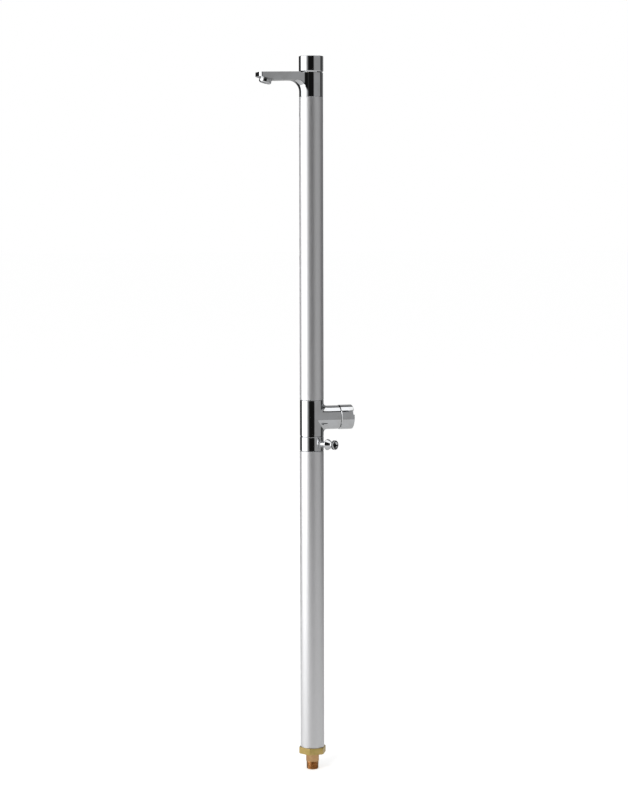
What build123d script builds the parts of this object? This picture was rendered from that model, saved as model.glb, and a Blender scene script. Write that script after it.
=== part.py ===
from build123d import *
import math
import os

# Garden standpipe: a slim column with a spout on top and a side tap half way up.
# Millimetres. +Z is up, the origin is the centre of the inlet thread's lower end,
# the spout points along -X and the side tap along +X.

# Column, from the ground up
column_radius = 20.0
tube_wall = 2.0
lower_tube_length = 502.2
upper_tube_length = 505.6
tube_edge_chamfer = 0.5
seam_chamfer = 0.8

# Fits
slip_clearance = 0.05
running_clearance = 0.05
face_clearance = 0.05
seam_gap = 0.3
cut_overrun = 1.0

# Inlet spigot, a half inch taper pipe thread under a plain collar
thread_major_radius = 10.45
thread_pitch = 1.814
thread_depth = 1.16
thread_taper_share = 1 / 32
thread_length = 13.5
thread_end_chamfer = 1.2
collar_radius = 11.0
collar_length = 14.0
collar_seat_depth = 0.6
inlet_bore_radius = 6.5
spigot_shank_radius = 10.0
spigot_shank_above_boss = 3.0
spigot_locknut_height = 6.0
spigot_locknut_flats = 24.0

# Base hexagon, which closes the lower tube
hexagon_flats = 41.0
hexagon_thickness = 10.8
hexagon_turn_deg = 61.0
hexagon_edge_chamfer = 0.8
boss_length = 22.0

# Seals, all round rubber section
seal_section_radius = 0.8
seal_gland_depth = 1.65
seal_gland_width = 2.1

# Water pipes inside the column
riser_radius = 7.5
riser_wall = 1.0
riser_socket_depth = 18.0
riser_end_gap = 0.3
riser_seal_from_mouth = 6.0
waterway_radius = 5.0
spacer_thickness = 6.0
spacer_rim = 2.0
spacer_hub = 2.0
spacer_spoke_width = 3.0
spacer_spoke_count = 3
spacer_place_shares = (0.33, 0.67)

# Swivel ring and hose nipple
ring_height = 24.9
journal_radius = 15.0
journal_seal_offset = 8.5
channel_depth = 2.5
channel_width = 8.0
washer_thickness = 0.9
washer_radius = 17.8
nipple_turn_deg = -55.0
nipple_thread_radius = 5.5
nipple_start_clearance = 0.5
nipple_bore_radius = 3.4
nipple_flange_radius = 6.8
nipple_flange_thickness = 1.4
nipple_neck_radius = 5.0
nipple_neck_length = 11.9
nipple_collar_radius = 9.3
nipple_collar_rise = 2.4
nipple_collar_land = 1.0
nipple_waist_radius = 4.75
nipple_cone_length = 8.3
nipple_waist_length = 3.6
nipple_tip_radius = 8.0
nipple_tip_length = 5.0
nipple_tip_chamfer = 0.9
nipple_tip_seal_from_end = 2.7
nipple_mouth_radius = 5.2
nipple_tip_gland_depth = 1.8
nipple_seat_depth = 1.2
nipple_gasket_thickness = 0.8

# Manifold core, on which the ring turns and the tee sits
core_plug_length = 30.0
core_spigot_radius = 13.5
core_shoulder_above_branch = 14.85
core_thread_radius = 10.0
core_thread_above_tee = 11.7
core_seal_margin = 5.5
return_drilling_radius = 1.5
return_drilling_place = 8.8
return_port_radius = 1.2
supply_port_radius = 3.0

# Tee and its side branch
tee_height = 61.4
branch_radius = 19.8
branch_reach = 46.5
branch_fillet = 6.0

# Coupling that clamps the tee and carries the upper tube
coupling_length = 34.0

# Head body and spout arm
head_height = 39.9
head_socket_plug_length = 28.0
head_socket_thread_radius = 12.0
head_socket_thread_length = 8.4
head_socket_seal_from_top = 3.4
arm_width = 31.0
arm_reach = 92.9
arm_depth_at_body = 13.8
arm_depth_at_aerator = 13.7
arm_top_rise = 1.3
arm_top_fall = 1.75
arm_relief_radius = 27.0
arm_tip_chamfer = 3.5
arm_tip_edge_radius = 2.0
arm_side_fillet = 12.0
arm_under_fillet = 19.0
arm_channel_radius = 3.0
arm_channel_floor = 2.0

# Aerator, screwed into the arm's tilted underside
aerator_tilt_deg = 15.0
aerator_from_tip = 14.5
aerator_behind = 9.2
aerator_radius = 10.3
aerator_drop = 7.1
aerator_edge_chamfer = 1.6
aerator_wall = 1.6
aerator_thread_radius = 8.6
aerator_thread_length = 4.6
aerator_gasket_thickness = 1.2
aerator_chamber_radius = 5.2
aerator_core_length = 6.6
aerator_hole_radius = 0.7
aerator_hole_counts = (6, 12)
aerator_hole_ring_radii = (2.6, 5.1)
aerator_screen_thickness = 0.6
aerator_lip = 0.9

# Valve, the same in head and branch, measured up from its seat
valve_bore_radius = 14.2
valve_depth = 28.8
valve_seal_thickness = 1.0
valve_seal_width = 1.8
disc_radius = 10.3
disc_thickness = 3.0
disc_hole_radius = 2.6
disc_hole_place = 5.9
skirt_clearance = 0.1
skirt_wall = 1.2
skirt_inside_length = 17.0
skirt_length = 23.0
window_length = 5.5
window_width = 6.0
window_from_top = 1.0
window_count = 4
headwork_flange_radius = 15.2
headwork_flange_thickness = 1.5
headwork_hexagon_flats = 22.0
headwork_hexagon_height = 5.6
headwork_neck_radius = 6.5
headwork_neck_height = 2.0
spindle_plate_thickness = 2.5
spindle_plate_radius = 9.6
spindle_plate_width = 5.4
spindle_plate_sunk = 1.0
spindle_flats = 6.4
spindle_radius = 4.0
spindle_shoulder_radius = 6.0
spindle_shoulder_height = 2.8
spindle_seal_heights = (21.0, 31.0)
spindle_length = 47.5

# Knobs
knob_radius = 20.5
head_knob_height = 27.7
side_knob_height = 23.0
knob_low_chamfer_height = 2.7
knob_low_chamfer_width = 2.2
knob_top_fillet = 0.9
knob_recess_radius = 15.9
knob_recess_depth = 9.9
insert_radius = 6.0
insert_length = 9.6
insert_end_gap = 0.3
insert_rib_count = 20
insert_rib_radius = 0.35
flute_outer_width = 11.0
flute_inner_width = 6.5
flute_depth = 7.0
flute_apex_width = 0.6
flute_apex_from_edge = 1.2
flute_overhang = 1.0
grub_radius = 2.0
grub_length = 8.0
grub_socket_flats = 2.0
grub_socket_depth = 2.2
grub_above_recess = 5.0
head_flute_turn_deg = 90.0
side_flute_turn_deg = 243.0
head_grub_turn_deg = 60.0
side_grub_turn_deg = 120.0

# Heights along the column
collar_z = thread_length
hexagon_z = collar_z + collar_length
lower_tube_z = hexagon_z + hexagon_thickness
ring_z = lower_tube_z + lower_tube_length
tee_z = ring_z + ring_height
upper_tube_z = tee_z + tee_height
head_z = upper_tube_z + upper_tube_length
head_top_z = head_z + head_height
branch_z = tee_z + tee_height / 2
nipple_z = ring_z + ring_height / 2
tube_bore_radius = column_radius - tube_wall
plug_radius = tube_bore_radius - slip_clearance
riser_socket_radius = riser_radius + slip_clearance
side_seat_x = branch_reach - valve_depth
head_seat_z = head_top_z - valve_depth
arm_top_z = head_top_z + arm_top_rise
arm_under_z = arm_top_z - arm_depth_at_body
aerator_place = arm_reach - aerator_from_tip
skirt_radius = disc_radius + skirt_clearance + skirt_wall
return_port_z = branch_z - (skirt_radius + valve_bore_radius) / 2
core_shoulder_z = branch_z + core_shoulder_above_branch
core_top_z = upper_tube_z + core_thread_above_tee
knob_low = valve_depth + seam_gap
insert_low = knob_low + knob_recess_depth


# Shapes that repeat

def rod(radius, z_low, z_high):
    """Upright cylinder between two heights."""
    middle = (z_low + z_high) / 2
    return Pos(0, 0, middle) * Cylinder(radius, z_high - z_low)


def tube(outer, inner, z_low, z_high):
    """Upright tube between two heights."""
    hole = rod(inner, z_low - cut_overrun, z_high + cut_overrun)
    return rod(outer, z_low, z_high) - hole


def turned(points):
    """Solid turned about Z from (radius, height) points, closed along the axis."""
    low = (0, points[0][1])
    high = (0, points[-1][1])
    outline = Polyline(low, *points, high, close=True)
    return revolve(Plane.XZ * make_face(outline), Axis.Z)


def hexagon(flats, z_low, z_high, turn_deg=0.0):
    """Upright hexagonal prism, sized across its flats."""
    corner_radius = flats / math.sqrt(3)
    outline = Plane.XY.offset(z_low) * RegularPolygon(corner_radius, 6)
    prism = extrude(outline, amount=z_high - z_low)
    return Rot(0, 0, turn_deg) * prism


def hexagon_blank(flats, z_low, z_high, turn_deg=0.0):
    """Hexagon whose corners are turned off at both ends, as on bar stock."""
    corner_radius = flats / math.sqrt(3)
    turned_blank = turned([
        (corner_radius - hexagon_edge_chamfer, z_low),
        (corner_radius, z_low + hexagon_edge_chamfer),
        (corner_radius, z_high - hexagon_edge_chamfer),
        (corner_radius - hexagon_edge_chamfer, z_high),
    ])
    return hexagon(flats, z_low, z_high, turn_deg) & turned_blank


def o_ring(inner_radius, z):
    """Round rubber ring whose inside has the given radius."""
    return Pos(0, 0, z) * Torus(inner_radius + seal_section_radius, seal_section_radius)


def outside_gland(radius, z, depth=seal_gland_depth, width=seal_gland_width):
    """Groove to cut round a shaft for an O-ring."""
    return tube(radius + cut_overrun, radius - depth, z - width / 2, z + width / 2)


def inside_gland(radius, z):
    """Groove to cut round a socket for an O-ring."""
    half = seal_gland_width / 2
    return rod(radius + seal_gland_depth, z - half, z + half)


def seal_on_shaft(radius, z, depth=seal_gland_depth):
    """O-ring lying in a shaft's groove, clear of its floor and of the bore round it."""
    clearance = (seal_gland_depth - 2 * seal_section_radius) / 2
    return o_ring(radius - depth + clearance, z)


def seals_round_pipe(heights):
    """O-rings round a riser pipe, in the middle of its sockets' grooves."""
    gland_radius = riser_socket_radius + seal_gland_depth
    clearance = (gland_radius - riser_radius - 2 * seal_section_radius) / 2
    return group(o_ring(riser_radius + clearance, z) for z in heights)


def across(radius, x_low, x_high, z=0.0):
    """Cylinder along X between two places."""
    middle = (x_low + x_high) / 2
    return Pos(middle, 0, z) * Rot(0, 90, 0) * Cylinder(radius, x_high - x_low)


def group(shapes):
    """Several separate solids kept as one piece of the assembly."""
    return Compound(children=list(shapes))


# Base

def spigot_top():
    """Height of the spigot's inner end, above its locknut."""
    return lower_tube_z + boss_length + spigot_locknut_height + spigot_shank_above_boss


def thread_points():
    """Taper thread as a row of ridges, small end first."""
    end_radius = thread_major_radius - thread_length * thread_taper_share
    points = [(end_radius - thread_end_chamfer, 0)]
    turns = int((thread_length - thread_end_chamfer) / thread_pitch)
    first_root = (thread_length - turns * thread_pitch) / 2
    for turn in range(turns + 1):
        root_z = first_root + turn * thread_pitch
        root = end_radius + root_z * thread_taper_share - thread_depth
        points.append((root, root_z))
        if turn < turns:
            crest_z = root_z + thread_pitch / 2
            points.append((root + thread_depth, crest_z))
    points.append((points[-1][0], thread_length))
    return points


def make_inlet_spigot():
    seat_z = hexagon_z + collar_seat_depth
    top = spigot_top()
    points = thread_points()
    points += [
        (collar_radius, collar_z),
        (collar_radius, seat_z),
        (spigot_shank_radius, seat_z),
        (spigot_shank_radius, top),
    ]
    body = turned(points)
    socket_floor = top - riser_socket_depth
    body -= rod(inlet_bore_radius, -cut_overrun, socket_floor + cut_overrun)
    body -= rod(riser_socket_radius, socket_floor, top + cut_overrun)
    return body - inside_gland(riser_socket_radius, top - riser_seal_from_mouth)


def make_base_hexagon():
    boss_top = lower_tube_z + boss_length
    plate = hexagon_blank(hexagon_flats, hexagon_z, lower_tube_z, hexagon_turn_deg)
    body = plate + rod(plug_radius, lower_tube_z, boss_top)
    body -= rod(spigot_shank_radius + slip_clearance, hexagon_z - cut_overrun, boss_top + cut_overrun)
    body -= rod(collar_radius + slip_clearance, hexagon_z - cut_overrun, hexagon_z + collar_seat_depth)
    return body - outside_gland(plug_radius, lower_tube_z + boss_length / 2)


def make_base_o_ring():
    return seal_on_shaft(plug_radius, lower_tube_z + boss_length / 2)


def make_spigot_locknut():
    low = lower_tube_z + boss_length
    high = low + spigot_locknut_height
    nut = hexagon_blank(spigot_locknut_flats, low, high)
    return nut - rod(spigot_shank_radius + slip_clearance, low - cut_overrun, high + cut_overrun)


# Tubes and pipes

def make_column_tube(z_low, z_high):
    body = tube(column_radius, tube_bore_radius, z_low, z_high)
    rims = [edge for edge in body.edges().filter_by(GeomType.CIRCLE)
            if edge.radius > tube_bore_radius + tube_wall / 2]
    return chamfer(rims, tube_edge_chamfer)


def make_riser(z_low, z_high):
    return tube(riser_radius, riser_radius - riser_wall, z_low + riser_end_gap, z_high - riser_end_gap)


def make_spacers(z_low, z_high):
    """Spoked discs that hold a pipe in the middle of a column tube."""
    spacers = []
    hub_radius = riser_radius + slip_clearance + spacer_hub
    for share in spacer_place_shares:
        low = z_low + (z_high - z_low) * share
        high = low + spacer_thickness
        rim_inside = plug_radius - spacer_rim
        disc = tube(plug_radius, rim_inside, low, high)
        disc += tube(hub_radius, riser_radius + slip_clearance, low, high)
        spoke_reach = (rim_inside + hub_radius) / 2
        spoke_length = rim_inside - hub_radius + spacer_rim
        for spoke in range(spacer_spoke_count):
            turn = 360 * spoke / spacer_spoke_count
            bar = Box(spoke_length, spacer_spoke_width, spacer_thickness)
            disc += Rot(0, 0, turn) * Pos(spoke_reach, 0, (low + high) / 2) * bar
        spacers.append(disc)
    return group(spacers)


# Manifold core, swivel ring and hose nipple

def core_seal_heights():
    """Heights of the two seals in the ring and the two in the tee."""
    in_ring = (nipple_z - journal_seal_offset, nipple_z + journal_seal_offset)
    in_tee = (tee_z + core_seal_margin, core_shoulder_z - core_seal_margin)
    return in_ring, in_tee


def make_manifold_core():
    plug_z = ring_z - core_plug_length
    body = turned([
        (plug_radius, plug_z),
        (plug_radius, ring_z),
        (journal_radius, ring_z),
        (journal_radius, tee_z),
        (core_spigot_radius, tee_z),
        (core_spigot_radius, core_shoulder_z),
        (core_thread_radius, core_shoulder_z),
        (core_thread_radius, core_top_z),
    ])
    in_ring, in_tee = core_seal_heights()
    for z in in_ring:
        body -= outside_gland(journal_radius, z)
    for z in in_tee:
        body -= outside_gland(core_spigot_radius, z)
    body -= outside_gland(journal_radius, nipple_z, channel_depth, channel_width)
    body -= rod(waterway_radius, plug_z, core_top_z + cut_overrun)
    socket_floor = plug_z + riser_socket_depth
    body -= rod(riser_socket_radius, plug_z - cut_overrun, socket_floor)
    body -= inside_gland(riser_socket_radius, plug_z + riser_seal_from_mouth)
    body -= across(supply_port_radius, 0, journal_radius, branch_z)
    low = nipple_z - return_port_radius - cut_overrun
    high = return_port_z + return_port_radius + cut_overrun
    body -= Pos(return_drilling_place, 0, 0) * rod(return_drilling_radius, low, high)
    for z in (nipple_z, return_port_z):
        body -= across(return_port_radius, return_drilling_place, journal_radius, z)
    return body


def make_swivel_o_rings():
    return group(seal_on_shaft(journal_radius, z) for z in core_seal_heights()[0])


def make_tee_o_rings():
    return group(seal_on_shaft(core_spigot_radius, z) for z in core_seal_heights()[1])


def make_thrust_washers():
    inner = journal_radius + slip_clearance
    low = tube(washer_radius, inner, ring_z, ring_z + washer_thickness)
    high = tube(washer_radius, inner, tee_z - washer_thickness, tee_z)
    return group([low, high])


def place_nipple(shape):
    """Turn a shape made along +X to the nipple's direction and height."""
    return Rot(0, 0, nipple_turn_deg) * (Pos(0, 0, nipple_z) * shape)


def nipple_seat():
    """Distance of the nipple's seat from the column's axis."""
    return column_radius - nipple_seat_depth


def make_swivel_ring():
    low = ring_z + seam_gap
    high = tee_z - seam_gap
    body = tube(column_radius, journal_radius + running_clearance, low, high)
    rims = [edge for edge in body.edges().filter_by(GeomType.CIRCLE)
            if edge.radius > (column_radius + journal_radius) / 2]
    body = chamfer(rims, seam_chamfer)
    recess_depth = washer_thickness + face_clearance
    recess_radius = washer_radius + face_clearance
    body -= rod(recess_radius, ring_z - cut_overrun, ring_z + recess_depth)
    body -= rod(recess_radius, tee_z - recess_depth, tee_z + cut_overrun)
    hole = across(nipple_thread_radius + slip_clearance, 0, column_radius + cut_overrun)
    spot = across(nipple_flange_radius + slip_clearance, nipple_seat(), column_radius + cut_overrun)
    return body - place_nipple(hole) - place_nipple(spot)


def nipple_stations():
    """Distances from the column's axis at which the nipple's outline changes."""
    flange = nipple_seat() + nipple_gasket_thickness
    neck = flange + nipple_flange_thickness
    collar = neck + nipple_neck_length
    cone = collar + nipple_collar_land
    waist = cone + nipple_cone_length
    tip = waist + nipple_waist_length
    return flange, neck, collar, cone, waist, tip, tip + nipple_tip_length


def make_hose_nipple():
    flange, neck, collar, cone, waist, tip, end = nipple_stations()
    start = journal_radius + nipple_start_clearance
    outline = turned([
        (nipple_thread_radius, start),
        (nipple_thread_radius, flange),
        (nipple_flange_radius, flange),
        (nipple_flange_radius, neck),
        (nipple_neck_radius, neck),
        (nipple_neck_radius, collar - nipple_collar_rise),
        (nipple_collar_radius, collar),
        (nipple_collar_radius, cone),
        (nipple_waist_radius, waist),
        (nipple_waist_radius, tip),
        (nipple_tip_radius, tip + nipple_tip_chamfer / 2),
        (nipple_tip_radius, end - nipple_tip_chamfer),
        (nipple_tip_radius - nipple_tip_chamfer, end),
    ])
    outline -= outside_gland(nipple_tip_radius, end - nipple_tip_seal_from_end, nipple_tip_gland_depth)
    outline -= rod(nipple_bore_radius, start - cut_overrun, end + cut_overrun)
    outline -= turned([
        (nipple_bore_radius, end - (nipple_mouth_radius - nipple_bore_radius)),
        (nipple_mouth_radius, end),
    ])
    return place_nipple(Rot(0, 90, 0) * outline)


def make_nipple_gasket():
    gasket = tube(nipple_flange_radius, nipple_thread_radius + slip_clearance,
                  nipple_seat(), nipple_seat() + nipple_gasket_thickness)
    return place_nipple(Rot(0, 90, 0) * gasket)


def make_nipple_o_ring():
    end = nipple_stations()[-1]
    seal = seal_on_shaft(nipple_tip_radius, end - nipple_tip_seal_from_end, nipple_tip_gland_depth)
    return place_nipple(Rot(0, 90, 0) * seal)


# Tee and coupling

def make_tee_body():
    column = rod(column_radius, tee_z, upper_tube_z)
    branch = across(branch_radius, 0, branch_reach, branch_z)
    body = column + branch
    joint = [edge for edge in body.edges()
             if edge.geom_type not in (GeomType.CIRCLE, GeomType.LINE)]
    body = fillet(joint, branch_fillet)
    rims = [edge for edge in body.edges().filter_by(GeomType.CIRCLE)
            if edge.center().Z < tee_z + cut_overrun or edge.center().X > branch_reach - cut_overrun]
    body = chamfer(rims, seam_chamfer)
    body -= rod(core_spigot_radius + slip_clearance, tee_z - cut_overrun, upper_tube_z + cut_overrun)
    body -= across(valve_bore_radius, side_seat_x, branch_reach + cut_overrun, branch_z)
    body -= across(supply_port_radius, 0, side_seat_x + cut_overrun, branch_z)
    return body - across(return_port_radius, 0, side_seat_x + cut_overrun, return_port_z)


def make_upper_coupling():
    top = upper_tube_z + coupling_length
    body = rod(plug_radius, upper_tube_z, top)
    body -= rod(core_thread_radius + slip_clearance, upper_tube_z - cut_overrun,
                core_top_z + riser_end_gap)
    body -= rod(waterway_radius, upper_tube_z, top)
    body -= rod(riser_socket_radius, top - riser_socket_depth, top + cut_overrun)
    return body - inside_gland(riser_socket_radius, top - riser_seal_from_mouth)


# Head

def make_head_socket():
    low = head_z - head_socket_plug_length
    top = head_z + head_socket_thread_length
    body = rod(plug_radius, low, head_z) + rod(head_socket_thread_radius, head_z, top)
    body -= rod(waterway_radius, low, top + cut_overrun)
    body -= rod(riser_socket_radius, low - cut_overrun, low + riser_socket_depth)
    body -= inside_gland(riser_socket_radius, low + riser_seal_from_mouth)
    return body - outside_gland(head_socket_thread_radius, top - head_socket_seal_from_top)


def make_head_socket_o_ring():
    top = head_z + head_socket_thread_length
    return seal_on_shaft(head_socket_thread_radius, top - head_socket_seal_from_top)


def head_plan():
    """Plan of the head: its round body and the arm, with softened corners."""
    arm = Pos(-arm_reach / 2, 0) * Rectangle(arm_reach, arm_width)
    plan = Circle(column_radius) + arm
    tip = [v for v in plan.vertices() if v.X < -arm_reach + cut_overrun]
    plan = chamfer(tip, arm_tip_chamfer)
    tip = [v for v in plan.vertices() if v.X < -arm_reach + arm_tip_chamfer + cut_overrun]
    plan = fillet(tip, arm_tip_edge_radius)
    inner = [v for v in plan.vertices() if -column_radius < v.X < 0]
    return fillet(inner, arm_side_fillet)


def head_envelope():
    """Turned shape that widens from the body into the arm with one large round."""
    flare_low = arm_under_z - arm_under_fillet
    flare_out = column_radius + arm_under_fillet
    wide = arm_reach + arm_width
    corner = math.sqrt(0.5) * arm_under_fillet
    outline = Polyline((0, flare_low), (0, head_z), (column_radius, head_z), (column_radius, flare_low))
    outline += ThreePointArc(
        (column_radius, flare_low),
        (flare_out - corner, flare_low + corner),
        (flare_out, arm_under_z),
    )
    outline += Polyline((flare_out, arm_under_z), (wide, arm_under_z), (wide, arm_top_z),
                        (0, arm_top_z), (0, flare_low))
    return revolve(Plane.XZ * make_face(outline), Axis.Z)


def aerator_seat():
    """Where the arm's underside starts to rise, and how it meets the arm's tip."""
    behind_x = aerator_place - aerator_behind
    seat_z = arm_top_z - arm_top_fall * behind_x / arm_reach - arm_depth_at_aerator
    return behind_x, seat_z


def arm_side_cut(points):
    """Prism across the arm from an outline of (distance, height) points."""
    outline = Polyline(*[(-x, z) for x, z in points], close=True)
    face = Plane.XZ * make_face(outline)
    return extrude(face, amount=arm_width, both=True)


def make_head_body():
    plan = extrude(Plane.XY.offset(head_z) * head_plan(), amount=arm_top_z - head_z)
    body = plan & head_envelope()
    behind_x, seat_z = aerator_seat()
    flare_out = column_radius + arm_under_fillet
    thicker = arm_side_cut([
        (flare_out, arm_under_z),
        (behind_x, seat_z),
        (arm_reach + arm_width, seat_z),
        (arm_reach + arm_width, arm_under_z),
    ])
    body += thicker & plan
    rise = math.tan(math.radians(aerator_tilt_deg))
    beyond = arm_reach + arm_width
    body -= arm_side_cut([
        (behind_x, seat_z),
        (beyond, seat_z + (beyond - behind_x) * rise),
        (beyond, head_z),
        (behind_x, head_z),
    ])
    body -= arm_side_cut([
        (column_radius, arm_top_z),
        (column_radius, arm_top_z + cut_overrun),
        (arm_reach, arm_top_z + cut_overrun),
        (arm_reach, arm_top_z - arm_top_fall),
    ])
    body -= rod(arm_relief_radius, head_top_z, arm_top_z + cut_overrun)
    body -= rod(head_socket_thread_radius + slip_clearance, head_z - cut_overrun,
                head_z + head_socket_thread_length + riser_end_gap)
    body -= rod(waterway_radius, head_z, head_top_z)
    body -= rod(valve_bore_radius, head_seat_z, head_top_z + cut_overrun)
    channel_z = arm_under_z + arm_channel_floor + arm_channel_radius
    body -= across(arm_channel_radius, -aerator_place, 0, channel_z)
    pocket = rod(aerator_thread_radius + slip_clearance, -cut_overrun, aerator_thread_length)
    pocket += rod(aerator_chamber_radius, 0, aerator_thread_length + arm_channel_radius)
    return body - place_aerator(pocket)


# Aerator, made upright with its seat at height zero

def place_aerator(shape):
    """Put a shape into the arm's tilted seat."""
    behind_x, seat_z = aerator_seat()
    rise = math.tan(math.radians(aerator_tilt_deg))
    z = seat_z + (aerator_place - behind_x) * rise
    return Pos(-aerator_place, 0, z) * Rot(0, aerator_tilt_deg, 0) * shape


def aerator_housing_top():
    return aerator_thread_length - aerator_gasket_thickness


def make_aerator_housing():
    bore_radius = aerator_thread_radius - aerator_wall
    body = turned([
        (aerator_radius - aerator_edge_chamfer, -aerator_drop),
        (aerator_radius, aerator_edge_chamfer - aerator_drop),
        (aerator_radius, 0),
        (aerator_thread_radius, 0),
        (aerator_thread_radius, aerator_housing_top()),
    ])
    body -= rod(bore_radius, aerator_lip - aerator_drop, aerator_thread_length)
    return place_aerator(body - rod(bore_radius - aerator_lip, -aerator_drop - cut_overrun, 0))


def around(shape, count, radius):
    """Copies of a shape evenly round the axis."""
    return [Rot(0, 0, 360 * turn / count) * Pos(radius, 0, 0) * shape for turn in range(count)]


def make_aerator_core():
    low = aerator_lip - aerator_drop
    high = low + aerator_core_length
    core_radius = aerator_thread_radius - aerator_wall - slip_clearance
    core = rod(core_radius, low, high)
    hole = rod(aerator_hole_radius, low - cut_overrun, high + cut_overrun)
    for row_radius, count in zip(aerator_hole_ring_radii, aerator_hole_counts):
        core -= around(hole, count, row_radius)
    return place_aerator(core)


def make_aerator_screen():
    low = aerator_lip - aerator_drop + aerator_core_length
    high = low + aerator_screen_thickness
    screen = rod(aerator_thread_radius - aerator_wall - slip_clearance, low, high)
    hole = rod(aerator_hole_radius / 2, low - cut_overrun, high + cut_overrun)
    for row_radius, count in zip(aerator_hole_ring_radii, aerator_hole_counts):
        screen -= around(hole, 2 * count, row_radius)
    return place_aerator(screen)


def make_aerator_gasket():
    outer = aerator_thread_radius - slip_clearance
    gasket = tube(outer, aerator_chamber_radius, aerator_housing_top(), aerator_thread_length)
    return place_aerator(gasket)


# Quarter turn valve, made upright with its seat at height zero

def make_seat_seal():
    outer = disc_radius - skirt_clearance
    return tube(outer, outer - valve_seal_width, 0, valve_seal_thickness)


def disc_holes(z_low, z_high, turn_deg):
    hole = rod(disc_hole_radius, z_low - cut_overrun, z_high + cut_overrun)
    return [Rot(0, 0, turn_deg) * copy for copy in around(hole, 2, disc_hole_place)]


def fixed_disc_top():
    return valve_seal_thickness + disc_thickness


def moving_disc_top():
    return fixed_disc_top() + face_clearance + disc_thickness


def make_fixed_disc():
    disc = rod(disc_radius, valve_seal_thickness, fixed_disc_top())
    return disc - disc_holes(valve_seal_thickness, fixed_disc_top(), 0)


def make_moving_disc():
    low = fixed_disc_top() + face_clearance
    disc = rod(disc_radius, low, moving_disc_top())
    slot = Box(3 * disc_radius, spindle_plate_width + 2 * slip_clearance, 2 * spindle_plate_sunk)
    disc -= Pos(0, 0, moving_disc_top()) * slot
    return disc - disc_holes(low, moving_disc_top(), 90)


def make_headwork():
    """Threaded brass body of the valve, screwed in from outside."""
    flange_top = valve_depth + headwork_flange_thickness
    hexagon_top = flange_top + headwork_hexagon_height
    thread_radius = valve_bore_radius - slip_clearance
    body = turned([
        (skirt_radius, 0),
        (skirt_radius, skirt_length),
        (thread_radius, skirt_length),
        (thread_radius, valve_depth),
        (headwork_flange_radius, valve_depth),
        (headwork_flange_radius, flange_top),
        (headwork_neck_radius, flange_top),
        (headwork_neck_radius, hexagon_top + headwork_neck_height),
    ])
    body += hexagon_blank(headwork_hexagon_flats, flange_top, hexagon_top)
    body -= rod(disc_radius + skirt_clearance, -cut_overrun, skirt_inside_length)
    body -= rod(spindle_radius + running_clearance, 0, hexagon_top + headwork_neck_height + cut_overrun)
    window = Box(2 * skirt_wall + cut_overrun, window_width, window_length)
    window_z = skirt_inside_length - window_from_top - window_length / 2
    return body - around(Pos(0, 0, window_z) * window, window_count, skirt_radius)


def make_spindle():
    plate_low = moving_disc_top() - spindle_plate_sunk + face_clearance
    plate_high = plate_low + spindle_plate_thickness
    shoulder_high = skirt_inside_length - face_clearance
    bar = Box(2 * disc_radius, spindle_plate_width, 2 * skirt_inside_length)
    body = rod(spindle_plate_radius, plate_low, plate_high) & bar
    body += rod(spindle_radius, moving_disc_top() + face_clearance, insert_low)
    body += rod(spindle_shoulder_radius, shoulder_high - spindle_shoulder_height, shoulder_high)
    body += stem_end(spindle_radius, spindle_flats, insert_low, spindle_length)
    for z in spindle_seal_heights:
        body -= outside_gland(spindle_radius, z)
    return body


def stem_end(radius, flats, z_low, z_high):
    """Round bar with two flats."""
    middle = (z_low + z_high) / 2
    return rod(radius, z_low, z_high) & Pos(0, 0, middle) * Box(3 * radius, flats, z_high - z_low)


def make_spindle_o_rings():
    return group(seal_on_shaft(spindle_radius, z) for z in spindle_seal_heights)


# Knob and its fixings, in the valve's frame

def make_knob_insert():
    high = insert_low + insert_length
    body = rod(insert_radius, insert_low, high)
    body += around(rod(insert_rib_radius, insert_low, high), insert_rib_count, insert_radius)
    hole = stem_end(spindle_radius + slip_clearance, spindle_flats + 2 * slip_clearance,
                    insert_low - cut_overrun, spindle_length + insert_end_gap)
    return body - hole


def insert_bore_radius():
    return insert_radius + insert_rib_radius + slip_clearance


def flute_outline(z, outer_width, inner_width, depth):
    """Cross-section of the grip flute, open to the outside."""
    inner_x = knob_radius - depth
    outer_x = knob_radius + flute_overhang
    corners = [
        (inner_x, -inner_width / 2),
        (outer_x, -outer_width / 2),
        (outer_x, outer_width / 2),
        (inner_x, inner_width / 2),
    ]
    return Plane.XY.offset(z) * make_face(Polyline(*corners, close=True))


def make_flute(top_z):
    """Wedge that opens at the knob's end face and runs out near its lower edge."""
    open_end = flute_outline(top_z + cut_overrun, flute_outer_width, flute_inner_width, flute_depth)
    apex = flute_outline(knob_low + flute_apex_from_edge, flute_apex_width, flute_apex_width, 0)
    return loft([apex, open_end], ruled=True)


def make_knob(height, flute_turn_deg, grub_turn_deg):
    top_z = valve_depth + height
    body = turned([
        (knob_radius - knob_low_chamfer_width, knob_low),
        (knob_radius, knob_low + knob_low_chamfer_height),
        (knob_radius, top_z),
    ])
    body = fillet(body.edges().group_by(Axis.Z)[-1], knob_top_fillet)
    body -= Rot(0, 0, flute_turn_deg) * make_flute(top_z)
    body -= rod(knob_recess_radius, knob_low - cut_overrun, insert_low)
    body -= rod(insert_bore_radius(), knob_low, insert_low + insert_length + insert_end_gap)
    hole = across(grub_radius + slip_clearance, 0, knob_radius + cut_overrun, grub_z())
    return body - Rot(0, 0, grub_turn_deg) * hole


def grub_z():
    return insert_low + grub_above_recess


def make_grub_screw(turn_deg):
    tip = insert_bore_radius()
    body = across(grub_radius, tip, tip + grub_length, grub_z())
    socket = hexagon(grub_socket_flats, -grub_socket_depth, cut_overrun)
    body -= Pos(tip + grub_length, 0, grub_z()) * Rot(0, 90, 0) * socket
    return Rot(0, 0, turn_deg) * body


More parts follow.
